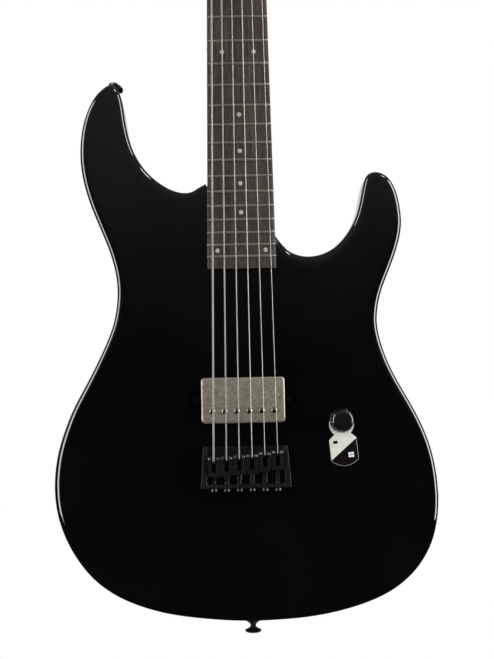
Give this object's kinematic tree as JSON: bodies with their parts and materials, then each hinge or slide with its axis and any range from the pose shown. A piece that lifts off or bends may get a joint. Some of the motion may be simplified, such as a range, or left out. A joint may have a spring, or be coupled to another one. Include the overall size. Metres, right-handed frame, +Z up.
{
  "type": "electric guitar",
  "caption": "Solid-body electric guitar with a bolt-on neck, fixed bridge with sliding saddles, a covered pickup, a push-pull volume knob and sealed tuners in line.",
  "frame": {"origin": "centre line of the guitar where the nut's face meets the fretboard, in the plane of the body's front face", "axes": "+Z up the neck from the body to the headstock, +X to the treble side, +Y out of the body's back; the front faces -Y"},
  "size_m": [0.3205, 0.0746, 0.9888],
  "materials": {
    "body_lacquer": "solid wood under high-gloss black lacquer",
    "neck_maple": "satin maple",
    "board_wood": "oiled dark open-grain wood",
    "nut_bone": "polished off-white synthetic bone",
    "string_steel": "bright nickel-plated steel",
    "steel": "bright plated steel",
    "brass": "plain turned brass",
    "black_metal": "satin black plated metal",
    "aged_nickel": "aged nickel plate with dull mottling",
    "black_plastic": "matt black",
    "knob_gloss": "gloss black turned metal",
    "label_enamel": "smooth pale enamel"
  },
  "bodies": {
    "guitar": {"body": "body_lacquer", "neck": "neck_maple", "fretboard": "board_wood", "nut": "nut_bone", "truss_rod": "steel", "truss_rod_cover": "black_plastic", "bridge_plate": "black_metal", "string_1": "string_steel", "string_2": "string_steel", "string_3": "string_steel", "string_4": "string_steel", "string_5": "string_steel", "string_6": "string_steel", "pot_case": "steel", "knob_label_plate": "label_enamel", "control_cover": "black_plastic", "jack_plate": "black_metal", "jack_socket": "steel", "strap_button_upper": "black_metal", "strap_button_lower": "black_metal", "tuner_housing_1": "black_metal", "tuner_housing_2": "black_metal", "tuner_housing_3": "black_metal", "tuner_housing_4": "black_metal", "tuner_housing_5": "black_metal", "tuner_housing_6": "black_metal"},
    "tuner_button_1": {"tuner_button_1": "black_metal"},
    "tuner_post_1": {"tuner_post_1": "black_metal"},
    "tuner_button_2": {"tuner_button_2": "black_metal"},
    "tuner_post_2": {"tuner_post_2": "black_metal"},
    "tuner_button_3": {"tuner_button_3": "black_metal"},
    "tuner_post_3": {"tuner_post_3": "black_metal"},
    "tuner_button_4": {"tuner_button_4": "black_metal"},
    "tuner_post_4": {"tuner_post_4": "black_metal"},
    "tuner_button_5": {"tuner_button_5": "black_metal"},
    "tuner_post_5": {"tuner_post_5": "black_metal"},
    "tuner_button_6": {"tuner_button_6": "black_metal"},
    "tuner_post_6": {"tuner_post_6": "black_metal"},
    "intonation_screw_1": {"intonation_screw_1": "steel"},
    "saddle_1": {"saddle_1": "black_metal"},
    "intonation_screw_2": {"intonation_screw_2": "steel"},
    "saddle_2": {"saddle_2": "black_metal"},
    "intonation_screw_3": {"intonation_screw_3": "steel"},
    "saddle_3": {"saddle_3": "black_metal"},
    "intonation_screw_4": {"intonation_screw_4": "steel"},
    "saddle_4": {"saddle_4": "black_metal"},
    "intonation_screw_5": {"intonation_screw_5": "steel"},
    "saddle_5": {"saddle_5": "black_metal"},
    "intonation_screw_6": {"intonation_screw_6": "steel"},
    "saddle_6": {"saddle_6": "black_metal"},
    "pickup": {"pickup_cover": "aged_nickel", "pickup_coils": "black_plastic", "pickup_baseplate": "aged_nickel"},
    "pickup_screw_bass": {"pickup_screw_bass": "black_metal"},
    "pickup_screw_treble": {"pickup_screw_treble": "black_metal"},
    "switch": {"switch_plunger": "black_plastic"},
    "volume": {"volume_knob": "knob_gloss", "pot_shaft": "steel"},
    "truss_rod_nut": {"truss_rod_nut": "brass"}
  },
  "joints": [
    {"name": "tuner_button_turn_1", "type": "hinge", "parent": "guitar", "child": "tuner_button_1", "pos_m": [-0.02325, 0.02408, 0.03252], "axis": [-0.9643, 0.0505, 0.2599], "continuous": true},
    {"name": "tuner_post_turn_1", "type": "hinge", "parent": "guitar", "child": "tuner_post_1", "pos_m": [-0.02156, 0.00455, 0.0426], "axis": [0, 0.9816, -0.1908], "continuous": true},
    {"name": "tuner_button_turn_2", "type": "hinge", "parent": "guitar", "child": "tuner_button_2", "pos_m": [-0.0161, 0.02895, 0.05755], "axis": [-0.9643, 0.0505, 0.2599], "continuous": true},
    {"name": "tuner_post_turn_2", "type": "hinge", "parent": "guitar", "child": "tuner_post_2", "pos_m": [-0.01441, 0.00942, 0.06763], "axis": [0, 0.9816, -0.1908], "continuous": true},
    {"name": "tuner_button_turn_3", "type": "hinge", "parent": "guitar", "child": "tuner_button_3", "pos_m": [-0.00895, 0.03382, 0.08258], "axis": [-0.9643, 0.0505, 0.2599], "continuous": true},
    {"name": "tuner_post_turn_3", "type": "hinge", "parent": "guitar", "child": "tuner_post_3", "pos_m": [-0.00726, 0.01428, 0.09266], "axis": [0, 0.9816, -0.1908], "continuous": true},
    {"name": "tuner_button_turn_4", "type": "hinge", "parent": "guitar", "child": "tuner_button_4", "pos_m": [-0.0018, 0.03868, 0.10761], "axis": [-0.9643, 0.0505, 0.2599], "continuous": true},
    {"name": "tuner_post_turn_4", "type": "hinge", "parent": "guitar", "child": "tuner_post_4", "pos_m": [-0.00011, 0.01915, 0.1177], "axis": [0, 0.9816, -0.1908], "continuous": true},
    {"name": "tuner_button_turn_5", "type": "hinge", "parent": "guitar", "child": "tuner_button_5", "pos_m": [0.0053, 0.04355, 0.13264], "axis": [-0.9643, 0.0505, 0.2599], "continuous": true},
    {"name": "tuner_post_turn_5", "type": "hinge", "parent": "guitar", "child": "tuner_post_5", "pos_m": [0.007, 0.02401, 0.14273], "axis": [0, 0.9816, -0.1908], "continuous": true},
    {"name": "tuner_button_turn_6", "type": "hinge", "parent": "guitar", "child": "tuner_button_6", "pos_m": [0.01236, 0.04841, 0.15768], "axis": [-0.9643, 0.0505, 0.2599], "continuous": true},
    {"name": "tuner_post_turn_6", "type": "hinge", "parent": "guitar", "child": "tuner_post_6", "pos_m": [0.01405, 0.02888, 0.16776], "axis": [0, 0.9816, -0.1908], "continuous": true},
    {"name": "intonation_turn_1", "type": "hinge", "parent": "guitar", "child": "intonation_screw_1", "pos_m": [-0.02625, -0.0072, -0.677], "axis": [0, 0, 1], "range_deg": [-2165, 2165]},
    {"name": "saddle_slide_1", "type": "slide", "parent": "guitar", "child": "saddle_1", "axis": [0, 0, 1], "range_m": [-0.003, 0.003], "deforming": ["string_1"]},
    {"name": "intonation_turn_2", "type": "hinge", "parent": "guitar", "child": "intonation_screw_2", "pos_m": [-0.01575, -0.0072, -0.677], "axis": [0, 0, 1], "range_deg": [-2165, 2165]},
    {"name": "saddle_slide_2", "type": "slide", "parent": "guitar", "child": "saddle_2", "axis": [0, 0, 1], "range_m": [-0.003, 0.003], "deforming": ["string_2"]},
    {"name": "intonation_turn_3", "type": "hinge", "parent": "guitar", "child": "intonation_screw_3", "pos_m": [-0.00525, -0.0072, -0.677], "axis": [0, 0, 1], "range_deg": [-2165, 2165]},
    {"name": "saddle_slide_3", "type": "slide", "parent": "guitar", "child": "saddle_3", "axis": [0, 0, 1], "range_m": [-0.003, 0.003], "deforming": ["string_3"]},
    {"name": "intonation_turn_4", "type": "hinge", "parent": "guitar", "child": "intonation_screw_4", "pos_m": [0.00525, -0.0072, -0.677], "axis": [0, 0, 1], "range_deg": [-2165, 2165]},
    {"name": "saddle_slide_4", "type": "slide", "parent": "guitar", "child": "saddle_4", "axis": [0, 0, 1], "range_m": [-0.003, 0.003], "deforming": ["string_4"]},
    {"name": "intonation_turn_5", "type": "hinge", "parent": "guitar", "child": "intonation_screw_5", "pos_m": [0.01575, -0.0072, -0.677], "axis": [0, 0, 1], "range_deg": [-2165, 2165]},
    {"name": "saddle_slide_5", "type": "slide", "parent": "guitar", "child": "saddle_5", "axis": [0, 0, 1], "range_m": [-0.003, 0.003], "deforming": ["string_5"]},
    {"name": "intonation_turn_6", "type": "hinge", "parent": "guitar", "child": "intonation_screw_6", "pos_m": [0.02625, -0.0072, -0.677], "axis": [0, 0, 1], "range_deg": [-2165, 2165]},
    {"name": "saddle_slide_6", "type": "slide", "parent": "guitar", "child": "saddle_6", "axis": [0, 0, 1], "range_m": [-0.003, 0.003], "deforming": ["string_6"]},
    {"name": "pickup_height", "type": "slide", "parent": "guitar", "child": "pickup", "axis": [0, -1, 0], "range_m": [-0.003, 0.002]},
    {"name": "pickup_screw_turn_bass", "type": "hinge", "parent": "pickup", "child": "pickup_screw_bass", "pos_m": [-0.0407, 0.0076, -0.605], "axis": [0, 1, 0], "range_deg": [-725, 1085]},
    {"name": "pickup_screw_turn_treble", "type": "hinge", "parent": "pickup", "child": "pickup_screw_treble", "pos_m": [0.0385, 0.0076, -0.605], "axis": [0, 1, 0], "range_deg": [-725, 1085]},
    {"name": "switch_pull", "type": "slide", "parent": "guitar", "child": "switch", "axis": [0, -1, 0], "range_m": [0, 0.005]},
    {"name": "volume_turn", "type": "hinge", "parent": "switch", "child": "volume", "pos_m": [0.08, 0, -0.6235], "axis": [0, -1, 0], "range_deg": [0, 280]},
    {"name": "truss_nut_turn", "type": "hinge", "parent": "guitar", "child": "truss_rod_nut", "pos_m": [0, 0.0043, 0.01], "axis": [0, 0, 1], "range_deg": [-360, 360]}
  ],
  "couplings": [
    {"joint": "tuner_post_turn_1", "follows": "tuner_button_turn_1", "ratio": 0.055556},
    {"joint": "tuner_post_turn_2", "follows": "tuner_button_turn_2", "ratio": 0.055556},
    {"joint": "tuner_post_turn_3", "follows": "tuner_button_turn_3", "ratio": 0.055556},
    {"joint": "tuner_post_turn_4", "follows": "tuner_button_turn_4", "ratio": 0.055556},
    {"joint": "tuner_post_turn_5", "follows": "tuner_button_turn_5", "ratio": 0.055556},
    {"joint": "tuner_post_turn_6", "follows": "tuner_button_turn_6", "ratio": 0.055556},
    {"joint": "intonation_turn_1", "follows": "saddle_slide_1", "rad_per_m": -12566},
    {"joint": "intonation_turn_2", "follows": "saddle_slide_2", "rad_per_m": -12566},
    {"joint": "intonation_turn_3", "follows": "saddle_slide_3", "rad_per_m": -12566},
    {"joint": "intonation_turn_4", "follows": "saddle_slide_4", "rad_per_m": -12566},
    {"joint": "intonation_turn_5", "follows": "saddle_slide_5", "rad_per_m": -12566},
    {"joint": "intonation_turn_6", "follows": "saddle_slide_6", "rad_per_m": -12566},
    {"joint": "pickup_screw_turn_bass", "follows": "pickup_height", "rad_per_m": -6283.2},
    {"joint": "pickup_screw_turn_treble", "follows": "pickup_height", "rad_per_m": -6283.2}
  ]
}
